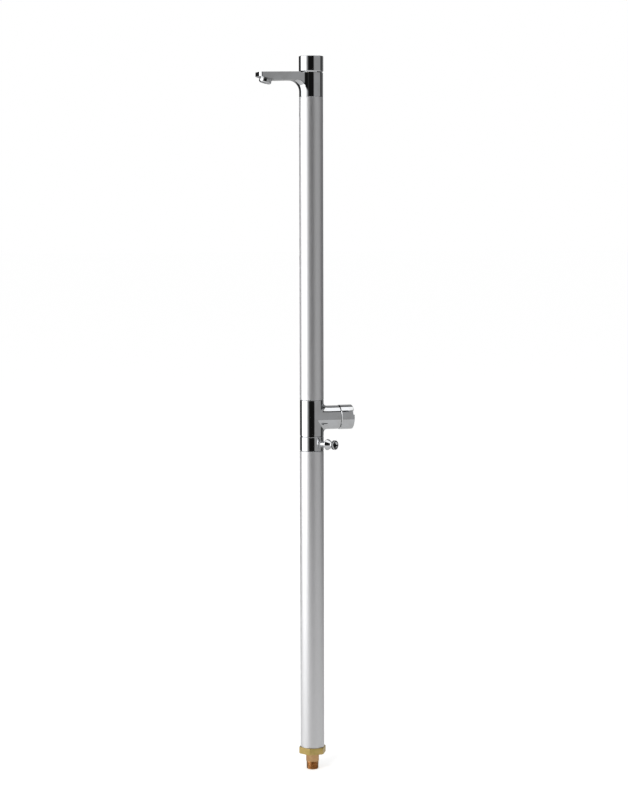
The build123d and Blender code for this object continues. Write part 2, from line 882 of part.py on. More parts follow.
def make_valve(side, knob_height, flute_turn_deg, grub_turn_deg):
    """Every piece of one valve with its knob, under its node's name."""
    return {
        side + "_seat_seal": make_seat_seal(),
        side + "_fixed_disc": make_fixed_disc(),
        side + "_moving_disc": make_moving_disc(),
        side + "_headwork": make_headwork(),
        side + "_spindle": make_spindle(),
        side + "_spindle_o_rings": make_spindle_o_rings(),
        side + "_knob_insert": make_knob_insert(),
        side + "_knob": make_knob(knob_height, flute_turn_deg, grub_turn_deg),
        side + "_grub_screw": make_grub_screw(grub_turn_deg),
    }


# The whole column

coupling_top_z = upper_tube_z + coupling_length
core_low_z = ring_z - core_plug_length
head_socket_z = head_z - head_socket_plug_length
lower_riser_low_z = spigot_top() - riser_socket_depth
upper_riser_low_z = coupling_top_z - riser_socket_depth

pieces = {
    "inlet_spigot": make_inlet_spigot(),
    "base_hexagon": make_base_hexagon(),
    "base_o_ring": make_base_o_ring(),
    "spigot_locknut": make_spigot_locknut(),
    "lower_tube": make_column_tube(lower_tube_z, ring_z),
    "lower_riser": make_riser(lower_riser_low_z, core_low_z + riser_socket_depth),
    "lower_riser_seals": seals_round_pipe(
        (spigot_top() - riser_seal_from_mouth, core_low_z + riser_seal_from_mouth)),
    "lower_spacers": make_spacers(lower_tube_z, ring_z),
    "manifold_core": make_manifold_core(),
    "swivel_seals": make_swivel_o_rings(),
    "tee_seals": make_tee_o_rings(),
    "thrust_washers": make_thrust_washers(),
    "swivel_ring": make_swivel_ring(),
    "hose_nipple": make_hose_nipple(),
    "nipple_gasket": make_nipple_gasket(),
    "nipple_o_ring": make_nipple_o_ring(),
    "tee_body": make_tee_body(),
    "upper_coupling": make_upper_coupling(),
    "upper_tube": make_column_tube(upper_tube_z, head_z),
    "upper_riser": make_riser(upper_riser_low_z, head_socket_z + riser_socket_depth),
    "upper_riser_seals": seals_round_pipe(
        (coupling_top_z - riser_seal_from_mouth, head_socket_z + riser_seal_from_mouth)),
    "upper_spacers": make_spacers(upper_tube_z, head_z),
    "head_socket": make_head_socket(),
    "head_socket_o_ring": make_head_socket_o_ring(),
    "head_body": make_head_body(),
    "aerator_housing": make_aerator_housing(),
    "aerator_core": make_aerator_core(),
    "aerator_screen": make_aerator_screen(),
    "aerator_gasket": make_aerator_gasket(),
}

head_valve = make_valve("head", head_knob_height, head_flute_turn_deg, head_grub_turn_deg)
side_valve = make_valve("side", side_knob_height, side_flute_turn_deg, side_grub_turn_deg)
for name, solid in head_valve.items():
    pieces[name] = Pos(0, 0, head_seat_z) * solid
for name, solid in side_valve.items():
    pieces[name] = Pos(side_seat_x, 0, branch_z) * Rot(0, 90, 0) * solid

os.makedirs("parts", exist_ok=True)
for name, solid in pieces.items():
    export_step(solid, f"parts/{name}.step")
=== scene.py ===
import math

import bmesh
import bpy
from mathutils import Matrix, Vector


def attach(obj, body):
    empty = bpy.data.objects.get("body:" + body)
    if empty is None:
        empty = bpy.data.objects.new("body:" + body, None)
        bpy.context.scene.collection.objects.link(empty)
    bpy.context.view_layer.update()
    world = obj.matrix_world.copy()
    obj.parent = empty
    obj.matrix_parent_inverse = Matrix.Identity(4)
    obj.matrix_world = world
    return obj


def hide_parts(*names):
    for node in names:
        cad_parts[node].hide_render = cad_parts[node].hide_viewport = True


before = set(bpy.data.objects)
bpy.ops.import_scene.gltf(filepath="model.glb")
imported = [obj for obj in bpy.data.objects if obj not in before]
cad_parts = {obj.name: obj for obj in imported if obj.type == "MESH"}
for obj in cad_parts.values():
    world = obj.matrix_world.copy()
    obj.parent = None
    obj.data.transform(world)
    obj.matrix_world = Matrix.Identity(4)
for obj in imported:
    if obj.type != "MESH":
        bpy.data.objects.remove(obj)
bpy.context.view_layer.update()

# Inlet spigot
# A gunmetal spigot, cast and then turned, with a half inch taper pipe thread below a plain collar.
# Its shank goes up through the hexagon and is held there by a locknut inside the column.

# Lengths are in millimetres throughout, and add_piece turns them into metres.
MM = 0.001
collar_low, collar_high = 13.5, 28.1
collar_radius = 11.0
shank_radius = 10.0
spigot_top = 69.3
spigot_socket_radius, spigot_socket_floor = 7.55, 51.3
spigot_bore_radius = 6.5
thread_end_radius = 10.03
thread_depth = 1.16
thread_pitch = 1.814
thread_taper_share = 1 / 32
thread_end_chamfer = 1.2
thread_flat_share = 0.1
thread_rows = 90
spigot_edge_round = 0.35
fit_clearance = 0.05
bronze_light = (0.68, 0.43, 0.22, 1)
bronze_red = (0.58, 0.33, 0.15, 1)
bronze_dark = (0.32, 0.17, 0.08, 1)


class Wire:
    """One value on its way through a material, so that arithmetic on wires adds Math nodes."""

    def __init__(self, socket):
        self.socket = socket

    def node(self, kind, settings, sockets, output=0):
        """A node in this wire's tree: its settings first, then the values or links of its sockets."""
        tree = self.socket.id_data
        made = tree.nodes.new(kind)
        for name, value in settings.items():
            setattr(made, name, value)
        for name, value in sockets.items():
            if isinstance(value, Wire):
                tree.links.new(value.socket, made.inputs[name])
            else:
                made.inputs[name].default_value = value
        return Wire(made.outputs[output])

    def maths(self, operation, *values):
        """A Math node on these values."""
        return self.node("ShaderNodeMath", {"operation": operation}, dict(enumerate(values)))

    def __add__(self, other):
        return self.maths("ADD", self, other)

    def __sub__(self, other):
        return self.maths("SUBTRACT", self, other)

    def __rsub__(self, other):
        return self.maths("SUBTRACT", other, self)

    def __mul__(self, other):
        return self.maths("MULTIPLY", self, other)

    def __truediv__(self, other):
        return self.maths("DIVIDE", self, other)

    __radd__ = __add__
    __rmul__ = __mul__

    def within(self, low, high):
        """0 below low, 1 above high and smooth between."""
        ranges = {"Value": self, "From Min": low, "From Max": high}
        return self.node("ShaderNodeMapRange", {"interpolation_type": "SMOOTHSTEP"}, ranges)

    def blend(self, first, second):
        """A colour between two, by this wire."""
        return self.node("ShaderNodeMix", {"data_type": "RGBA"}, {0: self, 6: first, 7: second}, 2)

    def part(self, axis):
        """One coordinate of a place: 0 for X, 1 for Y and 2 for Z."""
        return self.node("ShaderNodeSeparateXYZ", {}, {0: self}, axis)

    def noise(self, size, detail=3.0, stretch=(1, 1, 1)):
        """Clouds over a place, about as large as the given size in millimetres."""
        scaled = self.node("ShaderNodeVectorMath", {"operation": "MULTIPLY"}, {0: self, 1: stretch})
        sockets = {"Vector": scaled, "Scale": 1 / (size * MM), "Detail": detail}
        return scaled.node("ShaderNodeTexNoise", {}, sockets)

    def bump(self, depth):
        """A normal from a height of 0 to 1 that stands for this depth in millimetres."""
        return self.node("ShaderNodeBump", {}, {"Height": self, "Distance": depth * MM, "Strength": 1.0})


def new_finish(name, **constants):
    """A material with its even values set, and the wire of the place on the piece, in metres."""
    material = bpy.data.materials.new(name)
    material.use_nodes = True
    shader = material.node_tree.nodes["Principled BSDF"]
    for socket, value in constants.items():
        shader.inputs[socket.replace("_", " ")].default_value = value
    place = material.node_tree.nodes.new("ShaderNodeTexCoord").outputs["Object"]
    return material, Wire(place)


def lay_on(material, **wires):
    """Plug wires into a material's shader."""
    shader = material.node_tree.nodes["Principled BSDF"]
    for name, wire in wires.items():
        material.node_tree.links.new(wire.socket, shader.inputs[name.replace("_", " ")])


def ring(radius, z, segments=96, start_deg=0):
    """Points round a level circle, or round a curve where radius is a function of the angle."""
    points = []
    for step in range(segments):
        angle = math.radians(start_deg) + 2 * math.pi * step / segments
        reach = radius(angle) if callable(radius) else radius
        points.append(Vector((reach * math.cos(angle), reach * math.sin(angle), z)))
    return points


def skin(rows, joined=False, wrapped=True):
    """Points and faces over rows of points; joined ties the last row to the first."""
    count = len(rows[0])
    points = [point for row in rows for point in row]
    faces = []
    for index in range(len(rows) if joined else len(rows) - 1):
        low = index * count
        high = (index + 1) % len(rows) * count
        for step in range(count if wrapped else count - 1):
            after = (step + 1) % count
            faces.append((low + step, low + after, high + after, high + step))
    return points, faces


def rounded(outline, radius, steps=4):
    """A turned outline of (radius, height) points with its corners rounded."""
    soft = [outline[0]]
    for before, corner, after in zip(outline, outline[1:], outline[2:]):
        here = Vector(corner)
        back = Vector(before) - here
        ahead = Vector(after) - here
        reach = min(radius / math.tan(back.angle(ahead) / 2), 0.45 * back.length, 0.45 * ahead.length)
        start = here + back.normalized() * reach
        end = here + ahead.normalized() * reach
        for step in range(steps + 1):
            share = step / steps
            toward = here * 2 * share * (1 - share)
            soft.append(tuple(start * (1 - share) ** 2 + toward + end * share ** 2))
    return soft + [outline[-1]]


def turned(outline, segments=96):
    """A closed ring of surface turned about Z from (radius, height) points."""
    return skin([ring(radius, z, segments) for radius, z in outline], joined=True)


def add_piece(name, shape, body, finish, stands_for=(), place=Matrix(), bevel=0.0, sharp_deg=30):
    """A smooth mesh that rides on a body and stands for CAD nodes, its sharp edges rounded by bevel."""
    points, faces = shape
    mesh = bpy.data.meshes.new(name)
    mesh.from_pydata([MM * (place @ point) for point in points], [], faces)
    form = bmesh.new()
    form.from_mesh(mesh)
    bmesh.ops.remove_doubles(form, verts=form.verts, dist=0.001 * MM)
    bmesh.ops.recalc_face_normals(form, faces=form.faces)
    if bevel:
        crests = [edge for edge in form.edges if edge.calc_face_angle(0) > math.radians(sharp_deg)]
        bmesh.ops.bevel(form, geom=crests, offset=bevel * MM, segments=3, profile=0.5,
                        affect="EDGES", clamp_overlap=True)
    form.to_mesh(mesh)
    form.free()
    mesh.materials.append(finish)
    piece = bpy.data.objects.new(name, mesh)
    bpy.context.scene.collection.objects.link(piece)
    mesh.shade_smooth()
    mesh.set_sharp_from_angle(angle=math.radians(sharp_deg))
    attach(piece, body)
    if stands_for:
        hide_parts(*stands_for)
    return piece


def thread_radius(z, angle):
    """How far the taper thread's surface lies from the axis."""
    turn = (z / thread_pitch - angle / (2 * math.pi)) % 1
    flank = (1 - abs(2 * turn - 1) - thread_flat_share) / (1 - 2 * thread_flat_share)
    ridge = min(max(flank, 0), 1)
    run_out = min(max((collar_low - z) / thread_pitch, 0), 1)
    groove = thread_depth * (run_out * (1 - ridge) + 0.5 * (1 - run_out))
    chamfer_radius = thread_end_radius - thread_end_chamfer + z
    return min(thread_end_radius + z * thread_taper_share - groove, chamfer_radius)


bronze, place = new_finish("gunmetal", Metallic=1.0)
lathe_marks = place.node("ShaderNodeTexWave", {"bands_direction": "Z"},
                         {"Vector": place, "Scale": 700.0, "Distortion": 1.5, "Detail": 2.0})
patches = place.noise(7, 4.0)
grime = place.noise(2.2, 5.0).within(0.52, 0.72)
lay_on(
    bronze,
    Base_Color=(grime * 0.55).blend(patches.within(0.35, 0.65).blend(bronze_light, bronze_red), bronze_dark),
    Roughness=0.17 + patches * 0.12 + grime * 0.16,
    Normal=(lathe_marks * 0.5 + grime * 0.5).bump(0.02),
)

spigot_rows = [
    ring(spigot_socket_radius, spigot_top),
    ring(spigot_socket_radius, spigot_socket_floor),
    ring(spigot_bore_radius, spigot_socket_floor),
    ring(spigot_bore_radius, 0),
]
for row in range(thread_rows + 1):
    z = collar_low * row / thread_rows
    spigot_rows.append(ring(lambda angle: thread_radius(z, angle), z))
spigot_outside = rounded([
    (thread_end_radius - thread_depth * 0.5, collar_low),
    (collar_radius, collar_low),
    (collar_radius, collar_high),
    (shank_radius, collar_high),
    (shank_radius, spigot_top),
], spigot_edge_round)
spigot_rows += [ring(radius, z) for radius, z in spigot_outside]
add_piece("threaded_spigot", skin(spigot_rows, joined=True), "column", bronze, ["inlet_spigot"])

# Base hexagon
# Brass bar, 41 mm across its flats, whose corners are turned off at both ends.
# It closes the lower tube, and its boss inside the tube carries the spigot.
hexagon_low, hexagon_high = 27.5, 38.3
hexagon_flat_reach = 20.5
hexagon_corner_reach = 23.5
hexagon_corner_deg = 1
hexagon_turned_off = 0.8
hexagon_segments = 240
turned_off_steps = 4
boss_radius, boss_top = 17.95, 60.3
boss_bore_radius = shank_radius + fit_clearance
brass_light = (0.62, 0.46, 0.18, 1)
brass_dull = (0.54, 0.41, 0.14, 1)


def hexagon_ring(z, limit):
    """Six flats, cut back to a turned circle where the circle is smaller."""
    def reach(angle):
        off = (math.degrees(angle) - hexagon_corner_deg) % 60 - 30
        return min(hexagon_flat_reach / math.cos(math.radians(off)), limit)
    return ring(reach, z, hexagon_segments, hexagon_corner_deg)


brass, place = new_finish("bar_brass", Metallic=1.0)
tarnish = place.noise(9, 5.0)
drawn_grain = place.noise(0.8, 3.0, stretch=(1, 1, 0.1))
lay_on(
    brass,
    Base_Color=tarnish.within(0.38, 0.66).blend(brass_light, brass_dull),
    Roughness=0.22 + tarnish * 0.2 + drawn_grain * 0.08,
    Normal=drawn_grain.bump(0.015),
)

hexagon_rows = []
for step in range(turned_off_steps + 1):
    turned_off = hexagon_turned_off * (1 - step / turned_off_steps)
    hexagon_rows.append(hexagon_ring(hexagon_low + hexagon_turned_off - turned_off,
                                     hexagon_corner_reach - turned_off))
for step in range(turned_off_steps + 1):
    turned_off = hexagon_turned_off * step / turned_off_steps
    hexagon_rows.append(hexagon_ring(hexagon_high - hexagon_turned_off + turned_off,
                                     hexagon_corner_reach - turned_off))
hexagon_inside = [
    (boss_radius, hexagon_high),
    (boss_radius, boss_top),
    (boss_bore_radius, boss_top),
    (boss_bore_radius, collar_high),
    (collar_radius + fit_clearance, collar_high),
    (collar_radius + fit_clearance, hexagon_low),
]
hexagon_rows += [ring(radius, z, hexagon_segments, hexagon_corner_deg) for radius, z in hexagon_inside]
add_piece("brass_hexagon", skin(hexagon_rows, joined=True), "column", brass, ["base_hexagon"])

# Column tubes
# Two lengths of drawn aluminium tube with a satin silver anodised skin.
# The lower one stands on the hexagon, and the upper one carries the head.
column_radius = 20.0
column_bore_radius = 18.0
column_segments = 144
tube_edge = 0.5
lower_tube = (38.3, 540.5)
upper_tube = (626.8, 1132.4)
anodised_light = (0.82, 0.82, 0.83, 1)
anodised_dark = (0.78, 0.78, 0.79, 1)

satin, place = new_finish("satin_anodising", Metallic=1.0)
drawn_streaks = place.noise(0.7, 3.0, stretch=(1, 1, 0.015))
etched_grain = place.noise(0.25, 2.0)
cast_clouds = place.noise(120, 3.0, stretch=(1, 1, 0.3))
lay_on(
    satin,
    Base_Color=cast_clouds.blend(anodised_light, anodised_dark),
    Roughness=0.42 + cast_clouds * 0.05 + drawn_streaks * 0.06,
    Normal=(drawn_streaks * 0.6 + etched_grain * 0.4).bump(0.004),
)


def tube_shape(low, high):
    """A plain tube whose outer rims are chamfered."""
    return turned([
        (column_bore_radius, low),
        (column_radius - tube_edge, low),
        (column_radius, low + tube_edge),
        (column_radius, high - tube_edge),
        (column_radius - tube_edge, high),
        (column_bore_radius, high),
    ], column_segments)


add_piece("lower_column", tube_shape(*lower_tube), "column", satin, ["lower_tube"])
add_piece("upper_column", tube_shape(*upper_tube), "column", satin, ["upper_tube"])

# Swivel ring
# A chrome plated brass ring that turns round the manifold core between two washers.
# Its seams with the tube and the tee are fine open joints with small chamfers.
ring_low, ring_high = 540.8, 565.1
ring_bore_radius = 15.05
washer_seat_radius, washer_seat_depth = 17.85, 0.65
seam_chamfer = 0.8
chrome_tint = (0.62, 0.63, 0.645, 1)
chrome_worn = (0.58, 0.585, 0.59, 1)

chrome, place = new_finish("chrome_plate", Metallic=1.0)
wiped_marks = place.noise(14, 4.0)
fine_marks = place.noise(1.1, 4.0)
plate_ripple = place.noise(9, 1.0)
lay_on(
    chrome,
    Base_Color=wiped_marks.within(0.4, 0.7).blend(chrome_tint, chrome_worn),
    Roughness=0.035 + wiped_marks.within(0.45, 0.75) * 0.05 + fine_marks * 0.03,
    Normal=(plate_ripple * 0.8 + fine_marks * 0.2).bump(0.006),
)

add_piece("swivel_ring_shell", turned([
    (ring_bore_radius, ring_low + washer_seat_depth),
    (washer_seat_radius, ring_low + washer_seat_depth),
    (washer_seat_radius, ring_low),
    (column_radius - seam_chamfer, ring_low),
    (column_radius, ring_low + seam_chamfer),
    (column_radius, ring_high - seam_chamfer),
    (column_radius - seam_chamfer, ring_high),
    (washer_seat_radius, ring_high),
    (washer_seat_radius, ring_high - washer_seat_depth),
    (ring_bore_radius, ring_high - washer_seat_depth),
], column_segments), "swivel", chrome, ["swivel_ring"])

# Hose nipple
# A turned and chrome plated nipple, screwed into the ring against a gasket.
# A quick hose coupling snaps over its collar and seals on the rubber ring near its tip.
nipple_turn_deg = -55
nipple_z = 552.95
# Starts and ends are counted from the column's axis, out along the nipple.
nipple_bore_radius = 3.4
mouth_radius, mouth_depth = 5.2, 1.8
screwed_radius, screwed_start = 5.5, 15.5
flange_radius, flange_start, flange_end = 6.8, 19.6, 21.0
neck_radius, neck_end = 5.0, 30.5
catch_radius, catch_start, catch_end = 9.3, 32.9, 33.9
waist_radius, waist_start, waist_end = 4.75, 42.2, 45.8
tip_radius, tip_start, tip_end = 8.0, 46.25, 50.8
tip_chamfer = 0.9
groove_radius, groove_start, groove_end = 6.2, 47.05, 49.15
nipple_edge_round = 0.35
nipple_segments = 72
nipple_place = (Matrix.Rotation(math.radians(nipple_turn_deg), 4, "Z")
                @ Matrix.Translation((0, 0, nipple_z)) @ Matrix.Rotation(math.radians(90), 4, "Y"))

add_piece("hose_nipple_body", turned(rounded([
    (nipple_bore_radius, screwed_start),
    (screwed_radius, screwed_start),
    (screwed_radius, flange_start),
    (flange_radius, flange_start),
    (flange_radius, flange_end),
    (neck_radius, flange_end),
    (neck_radius, neck_end),
    (catch_radius, catch_start),
    (catch_radius, catch_end),
    (waist_radius, waist_start),
    (waist_radius, waist_end),
    (tip_radius, tip_start),
    (tip_radius, groove_start),
    (groove_radius, groove_start),
    (groove_radius, groove_end),
    (tip_radius, groove_end),
    (tip_radius, tip_end - tip_chamfer),
    (tip_radius - tip_chamfer, tip_end),
    (mouth_radius, tip_end),
    (nipple_bore_radius, tip_end - mouth_depth),
], nipple_edge_round), nipple_segments), "swivel", chrome, ["hose_nipple"], nipple_place)

# Tee
# A cast and chrome plated brass tee: the column's own round with a branch for the side tap.
# A rolled fillet joins the two, worked out as the path of a 6 mm ball that touches both.
tee_low, tee_high = 565.4, 626.8
tee_bore_radius = 13.55
branch_z = 596.1
branch_radius = 19.8
branch_reach = 46.5
branch_fillet = 6.0
valve_bore_radius = 14.2
valve_seat_x = 17.7
branch_lines = 144
branch_shares = (0, 0.02, 0.3, 0.7)
fillet_steps, spread_steps, back_steps = 8, 8, 32
wrap_deg = 100
tee_half = (tee_high - tee_low) / 2
rim_z = tee_half - seam_chamfer
hair = 1e-6


def on_column(turn_deg, z):
    """A point on the column's round, by its bearing and its height above the branch's axis."""
    angle = math.radians(turn_deg)
    return Vector((column_radius * math.cos(angle), column_radius * math.sin(angle), z))


def branch_strip(angle):
    """One line of the branch's surface, from its rim over the fillet to the column."""
    across, up = math.cos(angle), math.sin(angle)
    ball_y = (branch_radius + branch_fillet) * across
    ball_z = (branch_radius + branch_fillet) * up
    ball_x = math.sqrt((column_radius + branch_fillet) ** 2 - ball_y ** 2)
    ball = Vector((ball_x, ball_y, ball_z))
    to_branch = Vector((0, -across, -up))
    to_column = Vector((-ball_x, -ball_y, 0)).normalized()
    strip = []
    for share in branch_shares:
        x = branch_reach - seam_chamfer - share * (branch_reach - seam_chamfer - ball_x)
        strip.append(Vector((x, branch_radius * across, branch_radius * up)))
    for step in range(fillet_steps + 1):
        strip.append(ball + branch_fillet * to_branch.slerp(to_column, step / fillet_steps))
    return strip


def tee_strips():
    """The lines round the branch, each carried on over the column to the border of a square patch."""
    strips = [branch_strip(2 * math.pi * step / branch_lines) for step in range(branch_lines)]
    borders = []
    for strip in strips:
        turn, z = math.degrees(math.atan2(strip[-1].y, strip[-1].x)), strip[-1].z
        growth = min(wrap_deg / max(abs(turn), hair), rim_z / max(abs(z), hair))
        borders.append([turn, z, turn * growth, z * growth])
    for side in (1, -1):
        for end in (1, -1):
            corner = min(borders, key=lambda b: abs(b[2] / wrap_deg - side) + abs(b[3] / rim_z - end))
            corner[2:] = [side * wrap_deg, end * rim_z]
    for strip, (turn, z, last_turn, last_z) in zip(strips, borders):
        for step in range(1, spread_steps + 1):
            share = step / spread_steps
            strip.append(on_column(turn + share * (last_turn - turn), z + share * (last_z - z)))
    return strips, borders


def branch_shape(strips):
    """The branch with the socket for its valve, its chamfered rim and the patch on the column."""
    bored = valve_bore_radius / branch_radius
    chamfered = (branch_radius - seam_chamfer) / branch_radius
    rims = [[Vector((valve_seat_x, 0, 0))] * branch_lines]
    for x, share in ((valve_seat_x, bored), (branch_reach, bored), (branch_reach, chamfered)):
        rims.append([Vector((x, share * strip[0].y, share * strip[0].z)) for strip in strips])
    return skin(rims + [list(row) for row in zip(*strips)])


def tee_back(borders):
    """The column's round behind the patch, and both ends of the tee with its bore."""
    side_heights = sorted({round(b[3], 6) for b in borders if abs(b[2]) > wrap_deg - hair})
    back_turns = [wrap_deg + (360 - 2 * wrap_deg) * step / back_steps for step in range(back_steps + 1)]
    back = skin([[on_column(turn, z) for turn in back_turns] for z in side_heights], wrapped=False)
    front_turns = sorted({round(b[2], 6) for b in borders if b[3] > rim_z - hair})
    rim = [on_column(turn, 0) for turn in front_turns + back_turns[1:-1]]
    ends = []
    for radius, z in ((column_radius, rim_z), (column_radius - seam_chamfer, tee_half),
                      (tee_bore_radius, tee_half), (tee_bore_radius, -tee_half),
                      (column_radius - seam_chamfer, -tee_half), (column_radius, -rim_z)):
        share = radius / column_radius
        ends.append([Vector((share * point.x, share * point.y, z)) for point in rim])
    return [back, skin(ends)]


def together(shapes):
    """Several shapes as one."""
    points, faces = [], []
    for more_points, more_faces in shapes:
        faces += [tuple(index + len(points) for index in face) for face in more_faces]
        points += more_points
    return points, faces


tee_lines, tee_borders = tee_strips()
add_piece("tee_casting", together([branch_shape(tee_lines)] + tee_back(tee_borders)), "column",
          chrome, ["tee_body"], Matrix.Translation((0, 0, branch_z)))

# Knobs
# Two chrome plated knobs, hollow below, each with one V-shaped finger flute that opens at its end face.
# A grub screw in the rim holds each on its spindle; the side one lies along the branch.
knob_radius = 20.5
knob_low = 29.1
side_knob_top, head_knob_top = 51.8, 56.5
knob_top_round = 0.9
side_chamfer_width, side_chamfer_height = 0.7, 0.8
head_chamfer_width, head_chamfer_height = 2.2, 2.7
knob_recess_radius, knob_recess_top = 15.9, 39.0
insert_bore_radius, insert_top = 6.4, 48.9
flute_low = 30.3
flute_depth = 7.0
flute_half_inside, flute_half_outside = 3.25, 5.5
flute_half_apex = 0.3
flute_outer_reach = 21.5
flute_overrun = 1
side_flute_deg, head_flute_deg = 243, 90
valve_head_z = 1143.5
rim_steps, wall_steps, floor_steps = 132, 6, 4
side_steps, round_steps = 12, 6
top_shares = (0.97, 0.5, 0.0)


def flute_lip(inside, outside, reach):
    """Where a wall of the flute comes out through the knob's round."""
    along = outside - inside
    half = inside.dot(along)
    square = along.length_squared
    root = math.sqrt(half ** 2 - square * (inside.length_squared - reach ** 2))
    return inside + along * ((root - half) / square)


def knob_section(z, reach, top, turn_deg):
    """The knob's outline at one height, with the flute as deep as it is there."""
    share = max((z - flute_low) / (top + flute_overrun - flute_low), 0)
    half_inside = flute_half_apex + share * (flute_half_inside - flute_half_apex)
    half_outside = flute_half_apex + share * (flute_half_outside - flute_half_apex)
    inside = Vector((knob_radius - share * flute_depth, half_inside))
    if inside.length >= reach:
        inside = inside * (reach / inside.length)
        lip = inside
    else:
        lip = flute_lip(inside, Vector((flute_outer_reach, half_outside)), reach)
    lip_angle = math.atan2(lip.y, lip.x)
    outline = []
    for step in range(rim_steps + 1):
        angle = lip_angle + (2 * math.pi - 2 * lip_angle) * step / rim_steps
        outline.append(Vector((reach * math.cos(angle), reach * math.sin(angle))))
    for step in range(1, wall_steps):
        outline.append(Vector((lip.x, -lip.y)).lerp(Vector((inside.x, -inside.y)), step / wall_steps))
    for step in range(floor_steps + 1):
        outline.append(Vector((inside.x, inside.y * (2 * step / floor_steps - 1))))
    for step in range(1, wall_steps):
        outline.append(inside.lerp(lip, step / wall_steps))
    around = Matrix.Rotation(math.radians(turn_deg), 4, "Z")
    return [around @ Vector((point.x, point.y, z)) for point in outline]


def knob_shape(top, turn_deg, chamfer_width, chamfer_height):
    """A whole knob in its valve's own frame."""
    count = len(knob_section(knob_low, knob_radius, top, turn_deg))
    rows = [ring(radius, z, count, turn_deg) for radius, z in (
        (0, insert_top),
        (insert_bore_radius, insert_top),
        (insert_bore_radius, knob_recess_top),
        (knob_recess_radius, knob_recess_top),
        (knob_recess_radius, knob_low),
    )]
    rows.append(knob_section(knob_low, knob_radius - chamfer_width, top, turn_deg))
    low, high = knob_low + chamfer_height, top - knob_top_round
    for step in range(side_steps + 1):
        rows.append(knob_section(low + (high - low) * step / side_steps, knob_radius, top, turn_deg))
    for step in range(1, round_steps + 1):
        angle = math.radians(90 * step / round_steps)
        rows.append(knob_section(high + knob_top_round * math.sin(angle),
                                 knob_radius - knob_top_round * (1 - math.cos(angle)), top, turn_deg))
    rim = knob_section(top, knob_radius - knob_top_round, top, turn_deg)
    for share in top_shares:
        rows.append([Vector((share * point.x, share * point.y, top)) for point in rim])
    return skin(rows)


side_knob = knob_shape(side_knob_top, side_flute_deg, side_chamfer_width, side_chamfer_height)
head_knob = knob_shape(head_knob_top, head_flute_deg, head_chamfer_width, head_chamfer_height)
along_branch = Matrix.Translation((valve_seat_x, 0, branch_z)) @ Matrix.Rotation(math.radians(90), 4, "Y")
add_piece("side_knob_shell", side_knob, "side_tap", chrome, ["side_knob"], along_branch)
add_piece("head_knob_shell", head_knob, "head_tap", chrome, ["head_knob"],
          Matrix.Translation((0, 0, valve_head_z)))

# Head and spout
# One chrome plated casting: a round body that flares into a slim arm with a chamfered tip.
# A level seat is turned round the knob, and the arm's underside rises to the tip past the aerator.
head_low, head_high = 1132.4, 1172.3
arm_top_z, arm_top_fall = 1173.6, 1.75
relief_radius, relief_step = 27.0, 0.2
flare_low = 1140.8
flare_radius, flare_side_radius = 19.0, 11.5
flare_side_deg, flare_change_deg = 12, 26
arm_half_width = 15.5
arm_reach = 92.9
arm_chamfer, arm_edge_round = 3.5, 2.0
arm_root_fillet = 12.0
seat_start, seat_z = 69.2, 1158.6
spout_tilt_deg = 15
seat_rise = math.tan(math.radians(spout_tilt_deg))
arm_under_z = 1159.8
head_socket_radius, head_socket_top = 12.05, 1141.1
head_edge_round = 0.6
across_steps, upright_steps, body_steps = 16, 6, 72
root_steps, flare_steps, tip_steps = 6, 10, 4
slim_shares = (0.1, 0.3, 0.5, 0.7, 0.9, 0.98)
tilted_shares = (0, 0.02, 0.2, 0.5, 0.8, 1)


def arm_stations():
    """Points down one side of the arm, from where it leaves the round body to its tip."""
    fillet_reach = column_radius + arm_root_fillet
    fillet_y = arm_half_width + arm_root_fillet
    fillet_x = math.sqrt(fillet_reach ** 2 - fillet_y ** 2)
    leave_deg = math.degrees(math.atan2(fillet_y, fillet_x)) + 180
    stations = []
    for step in range(root_steps + 1):
        angle = math.radians(leave_deg + (270 - leave_deg) * step / root_steps)
        stations.append((fillet_x + arm_root_fillet * math.cos(angle),
                         fillet_y + arm_root_fillet * math.sin(angle)))
    out = column_radius + flare_radius
    first = math.acos((out - math.hypot(*stations[-1])) / flare_radius)
    reaches = [relief_radius - relief_step, relief_radius, relief_radius + relief_step]
    for step in range(1, flare_steps + 1):
        reaches.append(out - flare_radius * math.cos(first + (math.pi / 2 - first) * step / flare_steps))
    for reach in sorted(reaches):
        stations.append((math.sqrt(reach ** 2 - arm_half_width ** 2), arm_half_width))
    flared = stations[-1][0]
    corner_x = arm_reach - arm_chamfer
    for share in slim_shares:
        stations.append((flared + share * (seat_start - flared), arm_half_width))
    for share in tilted_shares:
        stations.append((seat_start + share * (corner_x - seat_start), arm_half_width))
    back = arm_edge_round * math.tan(math.radians(22.5))
    for centre_x, centre_y, first_deg in (
            (corner_x - back, arm_half_width - arm_edge_round, 0),
            (arm_reach - arm_edge_round, arm_half_width - arm_chamfer - back, 45)):
        for step in range(tip_steps + 1):
            angle = math.radians(first_deg + 45 * step / tip_steps)
            stations.append((centre_x + arm_edge_round * math.sin(angle),
                             centre_y + arm_edge_round * math.cos(angle)))
    return stations


def under_z(x, y):
    """Height of the flare and the arm's underside above a place; x runs out along the arm."""
    out = column_radius + flare_radius
    reach = math.hypot(x, y)
    if reach < out + hair:
        aside = (math.degrees(abs(math.atan2(y, x))) - flare_side_deg) / flare_change_deg
        aside = min(max(aside, 0), 1)
        aside = aside * aside * (3 - 2 * aside)
        wide = flare_radius + (flare_side_radius - flare_radius) * aside
        short = max(1 - (reach - column_radius) / wide, 0)
        return flare_low + flare_radius * math.sqrt(max(1 - short ** 2, 0))
    if x < seat_start:
        return arm_under_z + (seat_z - arm_under_z) * max((x - out) / (seat_start - out), 0)
    return seat_z + (x - seat_start) * seat_rise


def top_z(x, y):
    """Height of the arm's top, or of the turned seat round the knob."""
    if math.hypot(x, y) < relief_radius + relief_step / 2:
        return head_high
    fall = max((x - column_radius) / (arm_reach - column_radius), 0)
    return arm_top_z - arm_top_fall * fall


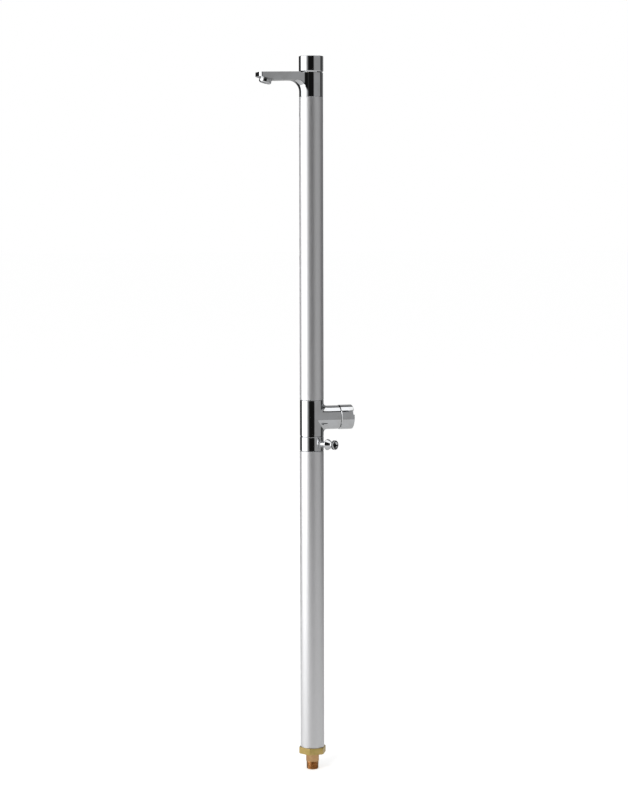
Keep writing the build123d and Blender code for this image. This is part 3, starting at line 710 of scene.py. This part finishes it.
def across_row(x, y):
    """Places across the arm at a station: an arc in the flare, and straighter further out."""
    out = column_radius + flare_radius
    reach = math.hypot(x, y)
    row = []
    for step in range(across_steps + 1):
        side = 2 * step / across_steps - 1
        if reach < out + hair:
            angle = side * math.atan2(y, x)
            row.append((reach * math.cos(angle), reach * math.sin(angle)))
        else:
            bow = max((out - math.sqrt(out ** 2 - y ** 2)) * (seat_start - x) / (seat_start - out), 0)
            row.append((x + bow * (1 - side ** 2), side * y))
    return row


def upright(x, y, low, high):
    """Points up the casting's outside over one place."""
    steps = range(upright_steps + 1)
    return [Vector((-x, y, low + (high - low) * step / upright_steps)) for step in steps]


def disc_rows(circle, levels):
    """The round body's outline at several radii and heights."""
    return [[Vector((-x * radius / column_radius, y * radius / column_radius, z)) for x, y in circle]
            for radius, z in levels]


def head_shape():
    """The arm from its stations, then the round body's back, its underside and its top."""
    stations = arm_stations()
    rows = [across_row(x, y) for x, y in stations]
    leave = math.atan2(stations[0][1], stations[0][0])
    back = []
    for step in range(body_steps + 1):
        angle = leave + (2 * math.pi - 2 * leave) * step / body_steps
        back.append((column_radius * math.cos(angle), column_radius * math.sin(angle)))
    edge = [row[0] for row in rows] + rows[-1][1:] + [row[-1] for row in reversed(rows[:-1])]
    circle = rows[0] + back[1:-1]
    return together([
        skin([[Vector((-x, y, under_z(x, y))) for x, y in row] for row in rows], wrapped=False),
        skin([[Vector((-x, y, top_z(x, y))) for x, y in row] for row in rows], wrapped=False),
        skin([upright(x, y, under_z(x, y), top_z(x, y)) for x, y in edge], wrapped=False),
        skin([upright(x, y, flare_low, head_high) for x, y in back], wrapped=False),
        skin(disc_rows(circle, [(0, head_socket_top), (head_socket_radius, head_socket_top),
                                (head_socket_radius, head_low), (column_radius, head_low),
                                (column_radius, flare_low)])),
        skin(disc_rows(circle, [(column_radius, head_high), (valve_bore_radius, head_high),
                                (valve_bore_radius, valve_head_z), (0, valve_head_z)])),
    ])


add_piece("head_casting", head_shape(), "column", chrome, ["head_body"], bevel=head_edge_round,
          sharp_deg=35)

# Aerator
# A chrome plated housing screwed up into the arm's tilted underside.
# It holds a grey plastic core with a ring of holes, a screen and a rubber gasket.
aerator_centre = (-78.4, 0, 1161.06)
aerator_radius, aerator_drop = 10.3, 7.1
aerator_chamfer = 1.6
aerator_bore_radius, aerator_mouth_radius = 7.0, 6.1
aerator_lip = 0.9
aerator_screwed_radius, aerator_screwed_height = 8.6, 3.4
aerator_edge_round = 0.25

add_piece("aerator_shell", turned(rounded([
    (aerator_bore_radius, aerator_screwed_height),
    (aerator_screwed_radius, aerator_screwed_height),
    (aerator_screwed_radius, 0),
    (aerator_radius, 0),
    (aerator_radius, aerator_chamfer - aerator_drop),
    (aerator_radius - aerator_chamfer, -aerator_drop),
    (aerator_mouth_radius, -aerator_drop),
    (aerator_mouth_radius, aerator_lip - aerator_drop),
    (aerator_bore_radius, aerator_lip - aerator_drop),
], aerator_edge_round)), "column", chrome, ["aerator_housing"],
    Matrix.Translation(aerator_centre) @ Matrix.Rotation(math.radians(spout_tilt_deg), 4, "Y"))

# Inner pieces
# Seals, pipes, discs and brass fittings inside the column, which keep their CAD shapes.
# Only the nipple's rubber ring and the aerator's core show from outside.


def speckled(name, light, dark, size, roughness, metallic=0.0, depth=0.01):
    """A finish whose colour and roughness wander over a fine grain."""
    finish, place = new_finish(name, Metallic=metallic)
    broad = place.noise(size, 4.0)
    fine = place.noise(size / 8, 3.0)
    lay_on(
        finish,
        Base_Color=(broad * 0.6 + fine * 0.4).within(0.35, 0.65).blend(light, dark),
        Roughness=roughness + broad * 0.1 + fine * 0.06,
        Normal=fine.bump(depth),
    )
    return finish


inner_finishes = {
    speckled("seal_rubber", (0.022, 0.022, 0.023, 1), (0.012, 0.012, 0.012, 1), 4, 0.42): (
        "base_o_ring", "lower_riser_seals", "swivel_seals", "tee_seals", "nipple_gasket", "nipple_o_ring",
        "upper_riser_seals", "head_socket_o_ring", "aerator_gasket", "head_seat_seal", "side_seat_seal",
        "head_spindle_o_rings", "side_spindle_o_rings"),
    speckled("water_pipe", (0.12, 0.16, 0.20, 1), (0.09, 0.12, 0.15, 1), 12, 0.45): (
        "lower_riser", "upper_riser"),
    speckled("grey_plastic", (0.30, 0.31, 0.32, 1), (0.24, 0.25, 0.26, 1), 6, 0.4): (
        "lower_spacers", "upper_spacers", "thrust_washers", "aerator_core", "head_knob_insert",
        "side_knob_insert"),
    speckled("disc_ceramic", (0.75, 0.73, 0.68, 1), (0.69, 0.67, 0.62, 1), 5, 0.2): (
        "head_fixed_disc", "head_moving_disc", "side_fixed_disc", "side_moving_disc"),
    speckled("screw_steel", (0.52, 0.51, 0.49, 1), (0.42, 0.41, 0.39, 1), 3, 0.25, 1.0): (
        "aerator_screen", "head_grub_screw", "side_grub_screw"),
    speckled("turned_brass", (0.78, 0.58, 0.27, 1), (0.62, 0.43, 0.18, 1), 6, 0.25, 1.0): (
        "spigot_locknut", "manifold_core", "upper_coupling", "head_socket", "head_headwork",
        "side_headwork", "head_spindle", "side_spindle"),
}
for finish, nodes in inner_finishes.items():
    for node in nodes:
        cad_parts[node].data.materials.clear()
        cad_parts[node].data.materials.append(finish)

# Studio
# A pale floor with a ring of cards round the object, as in a product photograph.
# Softboxes at the left and overhead, dark cards before and behind, a grey card at the right.

# Places and sizes are in metres from here on, and bearings are turned from the camera's own.
view_turn_deg = -17
wall_radius = 1.6
wall_low, wall_high = 0.01, 3.0
wall_step_deg = 3
cards_high, cards_edge = 2.6, 0.05
cards_brightness = 2.3
card_stops = (
    (-180, 0.16), (-165, 0.16), (-152, 0.008), (-116, 0.008), (-98, 1.0), (-54, 1.0), (-46, 0.52),
    (-35, 0.175), (-27, 0.028), (-18, 0.004), (23, 0.004), (31, 0.181), (92, 0.174), (103, 0.02),
    (118, 0.02), (128, 0.09), (160, 0.09), (172, 0.16))
softbox_front, softbox_back, softbox_edge = -1.26, 0.66, 0.04
softbox_brightness = 1.5
floor_reach = 60
floor_grey = (0.8, 0.8, 0.8, 1)
floor_seen, floor_in_metal = 0.5, 0.1
floor_lit, floor_dim = -0.5, 0.4
world_level = 0.62
view_turn = math.radians(view_turn_deg)


def stage_mesh(name, shape, material):
    """A card or floor of the studio, which is no part of the object."""
    points, faces = shape
    mesh = bpy.data.meshes.new(name)
    mesh.from_pydata(points, [], faces)
    mesh.materials.append(material)
    card = bpy.data.objects.new(name, mesh)
    bpy.context.scene.collection.objects.link(card)
    mesh.shade_smooth()
    return card


def shining(name):
    """A material of pure emission, its emission node and the wire of the place."""
    material = bpy.data.materials.new(name)
    material.use_nodes = True
    tree = material.node_tree
    tree.nodes.clear()
    output = tree.nodes.new("ShaderNodeOutputMaterial")
    glow = tree.nodes.new("ShaderNodeEmission")
    tree.links.new(glow.outputs[0], output.inputs[0])
    return material, glow, Wire(tree.nodes.new("ShaderNodeTexCoord").outputs["Object"])


def add_ramp(wire, stops):
    """Grey levels along a value, from its (position, level) stops."""
    level = wire.node("ShaderNodeValToRGB", {}, {"Fac": wire})
    ramp = level.socket.node.color_ramp
    while len(ramp.elements) < len(stops):
        ramp.elements.new(1.0)
    for element, (position, brightness) in zip(ramp.elements, stops):
        element.position = position
        element.color = (brightness, brightness, brightness, 1)
    return level


wall_finish, glow, place = shining("studio_cards")
bearing = place.node("ShaderNodeMath", {"operation": "ARCTAN2"}, {0: place.part(1), 1: place.part(0)})
turn = (bearing - (view_turn - math.pi / 2)) / (2 * math.pi) + 1.5
card_levels = add_ramp(turn.maths("FRACT", turn), [(0.5 + angle / 360, level) for angle, level in card_stops])
below_top = 1 - place.part(2).within(cards_high, cards_high + cards_edge)
glow.id_data.links.new((below_top * card_levels * cards_brightness).socket, glow.inputs["Color"])
card_bearings = [math.radians(turn_deg) for turn_deg in range(0, 360, wall_step_deg)]
wall = stage_mesh("studio_wall", skin([
    [Vector((wall_radius * math.cos(angle), wall_radius * math.sin(angle), z)) for angle in card_bearings]
    for z in (wall_low, wall_high)]), wall_finish)

ceiling_finish, glow, place = shining("studio_ceiling")
depth = place.part(0) * math.sin(view_turn) + place.part(1) * math.cos(view_turn)
box = depth.within(softbox_front, softbox_front + softbox_edge)
box = box * (1 - depth.within(softbox_back, softbox_back + softbox_edge))
glow.id_data.links.new((box * softbox_brightness).socket, glow.inputs["Color"])


def level_square(reach, z):
    """A level square about the column, as points and faces."""
    corners = [Vector((reach * x, reach * y, z)) for x, y in ((-1, -1), (1, -1), (1, 1), (-1, 1))]
    return corners, [(0, 1, 2, 3)]


ceiling = stage_mesh("studio_softbox", level_square(wall_radius, wall_high), ceiling_finish)
for card in (wall, ceiling):
    card.visible_camera = False
    card.visible_diffuse = False
    card.visible_shadow = False
    card.visible_transmission = False

floor_finish = bpy.data.materials.new("studio_floor")
floor_finish.use_nodes = True
tree = floor_finish.node_tree
tree.nodes.clear()
output = tree.nodes.new("ShaderNodeOutputMaterial")
matt = tree.nodes.new("ShaderNodeBsdfDiffuse")
matt.inputs["Color"].default_value = floor_grey
glow = tree.nodes.new("ShaderNodeEmission")
both = tree.nodes.new("ShaderNodeAddShader")
path = tree.nodes.new("ShaderNodeLightPath")
seen = Wire(path.outputs["Is Camera Ray"]) + Wire(path.outputs["Is Transmission Ray"])
place = Wire(tree.nodes.new("ShaderNodeTexCoord").outputs["Object"])
across = place.part(0) * math.cos(view_turn) + place.part(1) * math.sin(view_turn)
in_metal = Wire(path.outputs["Is Glossy Ray"]) * (1 - across.within(floor_lit, floor_dim)) * floor_in_metal
tree.links.new((seen * floor_seen + in_metal).socket, glow.inputs["Strength"])
tree.links.new(matt.outputs[0], both.inputs[0])
tree.links.new(glow.outputs[0], both.inputs[1])
tree.links.new(both.outputs[0], output.inputs[0])
stage_mesh("studio_floor", level_square(floor_reach, 0), floor_finish)

world = bpy.data.worlds.new("studio_light")
bpy.context.scene.world = world
world.use_nodes = True
tree = world.node_tree
path = tree.nodes.new("ShaderNodeLightPath")
seen = Wire(path.outputs["Is Camera Ray"]) + Wire(path.outputs["Is Glossy Ray"])
seen = (seen + Wire(path.outputs["Is Transmission Ray"])).maths("MINIMUM", 1.0, seen)
tree.links.new((world_level + seen * (1 - world_level)).socket, tree.nodes["Background"].inputs["Strength"])
tree.nodes["Background"].inputs["Color"].default_value = (1, 1, 1, 1)


def add_lamp(name, where, aim, width, power):
    """A square soft lamp that lights without showing in the metal."""
    data = bpy.data.lights.new(name, "AREA")
    data.size = width
    data.energy = power
    lamp = bpy.data.objects.new(name, data)
    lamp.location = where
    lamp.rotation_euler = (Vector(aim) - Vector(where)).to_track_quat("-Z", "Y").to_euler()
    lamp.visible_glossy = False
    bpy.context.scene.collection.objects.link(lamp)


add_lamp("key_lamp", (-2.2, -2.4, 3.2), (0, 0, 0.4), 1.6, 60)

bpy.context.scene.view_settings.view_transform = "Standard"

# Camera
# A long lens a little below the spout, turned slightly to the left of the object's front.
camera_distance = 3.515
camera_height = 0.924
camera_pitch_deg = 3.1
camera_roll_deg = -0.125
lens_data = bpy.data.cameras.new("camera")
lens_data.lens = 94.5
lens_data.sensor_width = 36
lens_data.shift_x = 0.003
lens_data.shift_y = -0.0800
camera = bpy.data.objects.new("camera", lens_data)
camera.location = (camera_distance * math.sin(view_turn), -camera_distance * math.cos(view_turn),
                   camera_height)
camera.rotation_euler = (Matrix.Rotation(view_turn, 4, "Z")
                         @ Matrix.Rotation(math.radians(90 - camera_pitch_deg), 4, "X")
                         @ Matrix.Rotation(math.radians(camera_roll_deg), 4, "Z")).to_euler()
bpy.context.scene.collection.objects.link(camera)
bpy.context.scene.camera = camera
